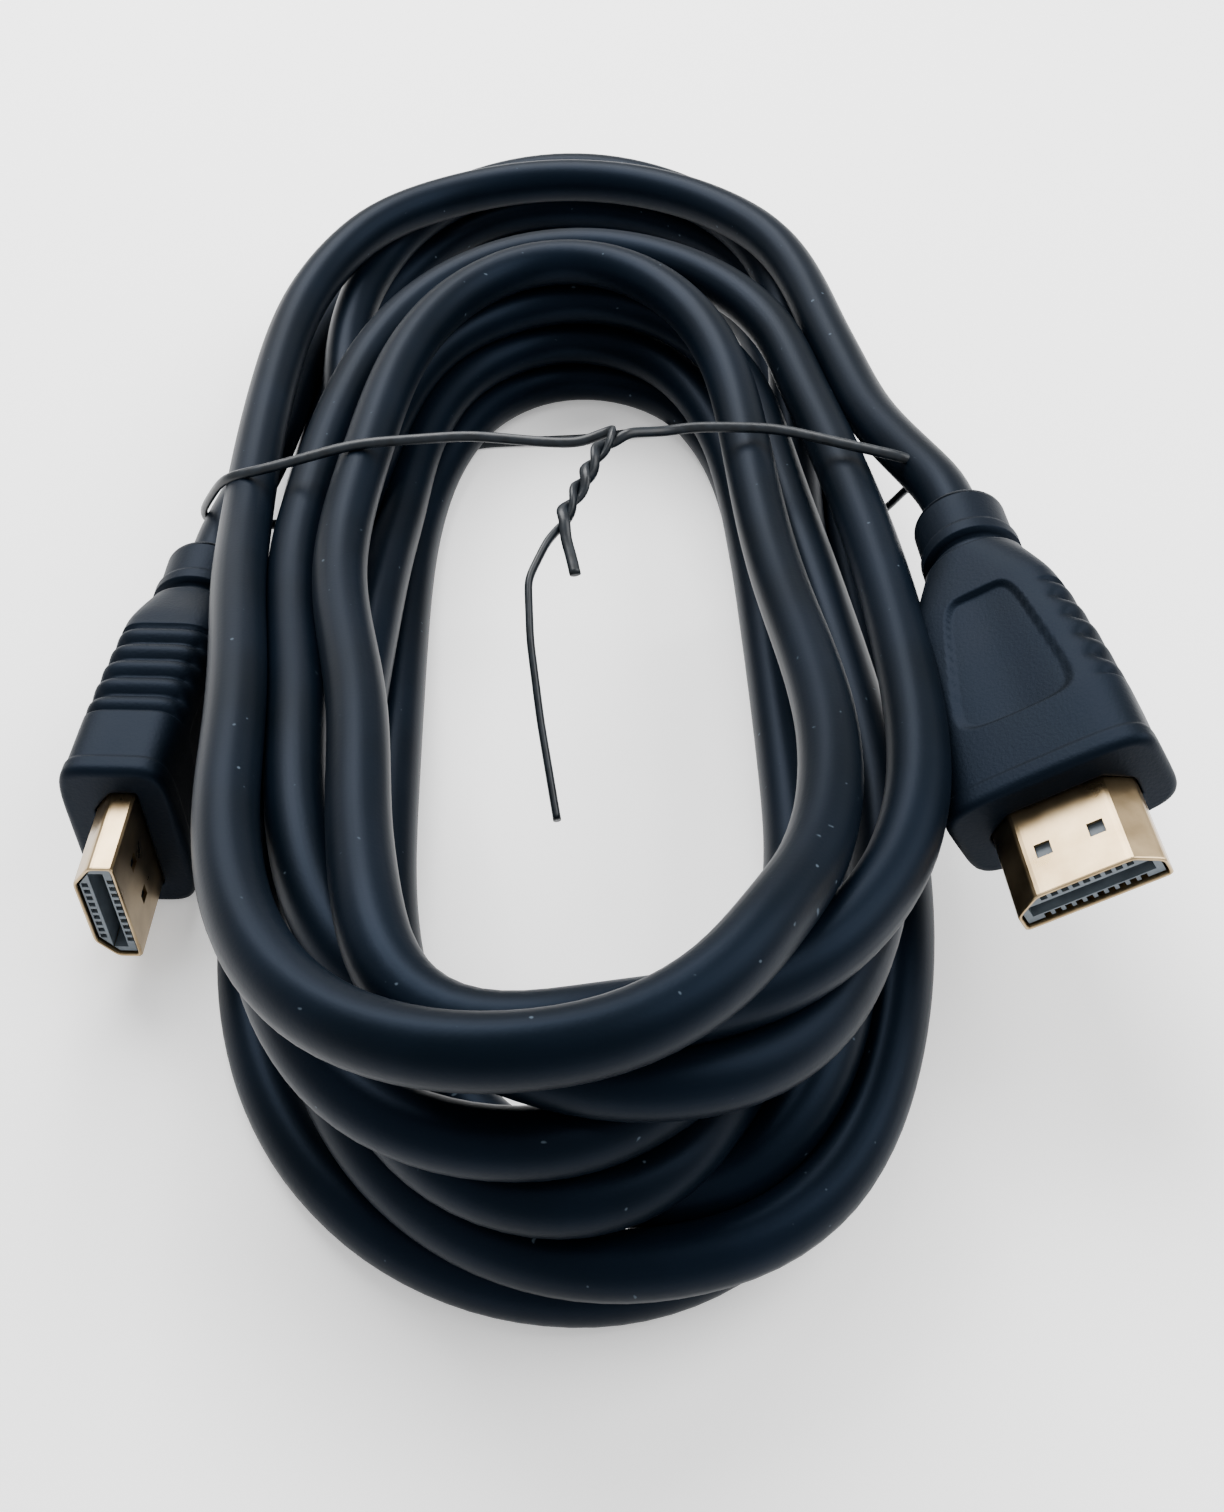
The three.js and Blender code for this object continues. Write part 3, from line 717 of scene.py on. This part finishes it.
def tie_loop(path):
    """Taut loop round every strand that crosses the tie's plane: the outline of their circles.

    Its top crosses straight over the coil and its lower run bows towards the far end.
    """
    above = path[:, 1] - TIE_Y
    crossing = np.nonzero(above[:-1] * above[1:] <= 0)[0]
    centres = path[crossing][:, [0, 2]]
    a = np.linspace(np.pi / 2, np.pi / 2 + 2 * np.pi, 181)
    outward = np.column_stack([np.cos(a), np.sin(a)])
    best = (centres @ outward.T).argmax(axis=0)
    hull = centres[best] + outward * (CORD_D + TIE_D) / 2
    hull[:, 1] = np.maximum(hull[:, 1], TIE_D / 2)
    ring = even_steps(np.column_stack([hull[:, 0], np.zeros(len(hull)), hull[:, 1]]), 1.0)
    ring[:, 1] = np.interp(ring[:, 2], *np.array(TIE_SLANT).T)
    low = ring[:, 2] < TIE_LOW
    ring[low, 1] = np.interp(ring[low, 0], *np.array(TIE_LOWER_RUN).T)
    high = ring[:, 2] > TIE_HIGH
    ring[high, 1] = np.interp(ring[high, 0], *np.array(TIE_UPPER_RUN).T)
    return soften(ring, 6)


def make_tie(path, material):
    """One flat wire: short tail, twist, once round the bundle, twist back and long tail."""
    loop = tie_loop(path)
    away = np.abs(loop[:, 0] - TIE_KNOT_X) + 100 * (loop[:, 2] < TIE_MIDDLE)
    at = int(away.argmin())
    ring = np.vstack([loop[at + 5:-1], loop[:at - 4]])
    spine = soften(even_steps(np.array(TIE_TWIST), TIE_STEP), 6)
    side, up = ring_frames(spine)
    turn = 2 * np.pi * np.arange(len(spine)) * TIE_STEP / TIE_TWIST_PITCH
    strands = []
    for phase in (0, np.pi):
        swing = np.cos(turn + phase)[:, None] * side + np.sin(turn + phase)[:, None] * up
        strands.append(spine + TIE_PAIR * TIE_D * swing)
    wire = np.vstack([TIE_SHORT_TAIL, strands[0][::-1], ring, strands[1], TIE_LONG_TAIL])
    wire = soften(even_steps(wire, TIE_STEP), 6)
    points, faces = swept(wire, TIE_D / 2, TIE_SIDES, TIE_FLATNESS)
    tie = add_mesh("tie_wire", points, faces, material)
    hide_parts("twist_tie")
    return tie


# stage

def make_floor():
    """White seamless paper, lit a little from behind as a light table is."""
    material, _, shader = new_material("pale_paper_floor")
    shader.inputs["Base Color"].default_value = linear("#fbfbfb")
    shader.inputs["Emission Color"].default_value = linear("#ffffff")
    shader.inputs["Emission Strength"].default_value = FLOOR_GLOW
    shader.inputs["Roughness"].default_value = 0.9
    mesh = bpy.data.meshes.new("floor")
    r = FLOOR_HALF
    mesh.from_pydata([(-r, -r, 0), (r, -r, 0), (r, r, 0), (-r, r, 0)], [], [(0, 1, 2, 3)])
    mesh.materials.append(material)
    floor = bpy.data.objects.new("floor", mesh)
    bpy.context.scene.collection.objects.link(floor)


def add_area_light(name, lamp_place, size, power):
    """Soft square light at a place in millimetres, aimed at the part."""
    data = bpy.data.lights.new(name, "AREA")
    data.size = size * 0.001
    data.energy = power
    lamp = bpy.data.objects.new(name, data)
    direction = np.array(LAMP_AIM, float) - np.array(lamp_place, float)
    lamp.location = place(lamp_place)
    lamp.rotation_euler = Vector(direction).to_track_quat("-Z", "Y").to_euler()
    bpy.context.scene.collection.objects.link(lamp)


def make_light():
    world = bpy.data.worlds.new("studio")
    world.use_nodes = True
    world.node_tree.nodes["Background"].inputs["Color"].default_value = linear("#ffffff")
    world.node_tree.nodes["Background"].inputs["Strength"].default_value = 1.0
    bpy.context.scene.world = world
    for name, lamp_place, size, power in LAMPS:
        add_area_light(name, lamp_place, size, power)


def make_camera():
    data = bpy.data.cameras.new("photo_view")
    data.sensor_width = SENSOR
    data.lens = FOCAL_PIXELS * SENSOR / max(PHOTO_SIZE)
    data.clip_start = 0.005
    camera = bpy.data.objects.new("photo_view", data)
    camera.location = place(LENS_PLACE)
    camera.rotation_euler = (math.radians(90 - LENS_PITCH), 0, 0)
    bpy.context.scene.collection.objects.link(camera)
    bpy.context.scene.camera = camera


def dress_cad(names, material):
    for name in names:
        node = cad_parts[name]
        node.data.materials.clear()
        node.data.materials.append(material)


make_camera()
make_light()
make_floor()
cord, path = make_cord(extruded_pvc())
grip_material, shell_material = moulded_pvc(), gilt_steel()
grips = {side: make_grip(side, grip_material) for side in PLUGS}
shells = {side: make_shell(side, shell_material) for side in PLUGS}
make_tie(path, coated_wire())
dress_cad(["contact_carrier_left", "contact_carrier_right"], glass_filled_plastic())
contacts = [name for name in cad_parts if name.startswith(("contact_left_", "contact_right_"))]
dress_cad(contacts, gold_flash())
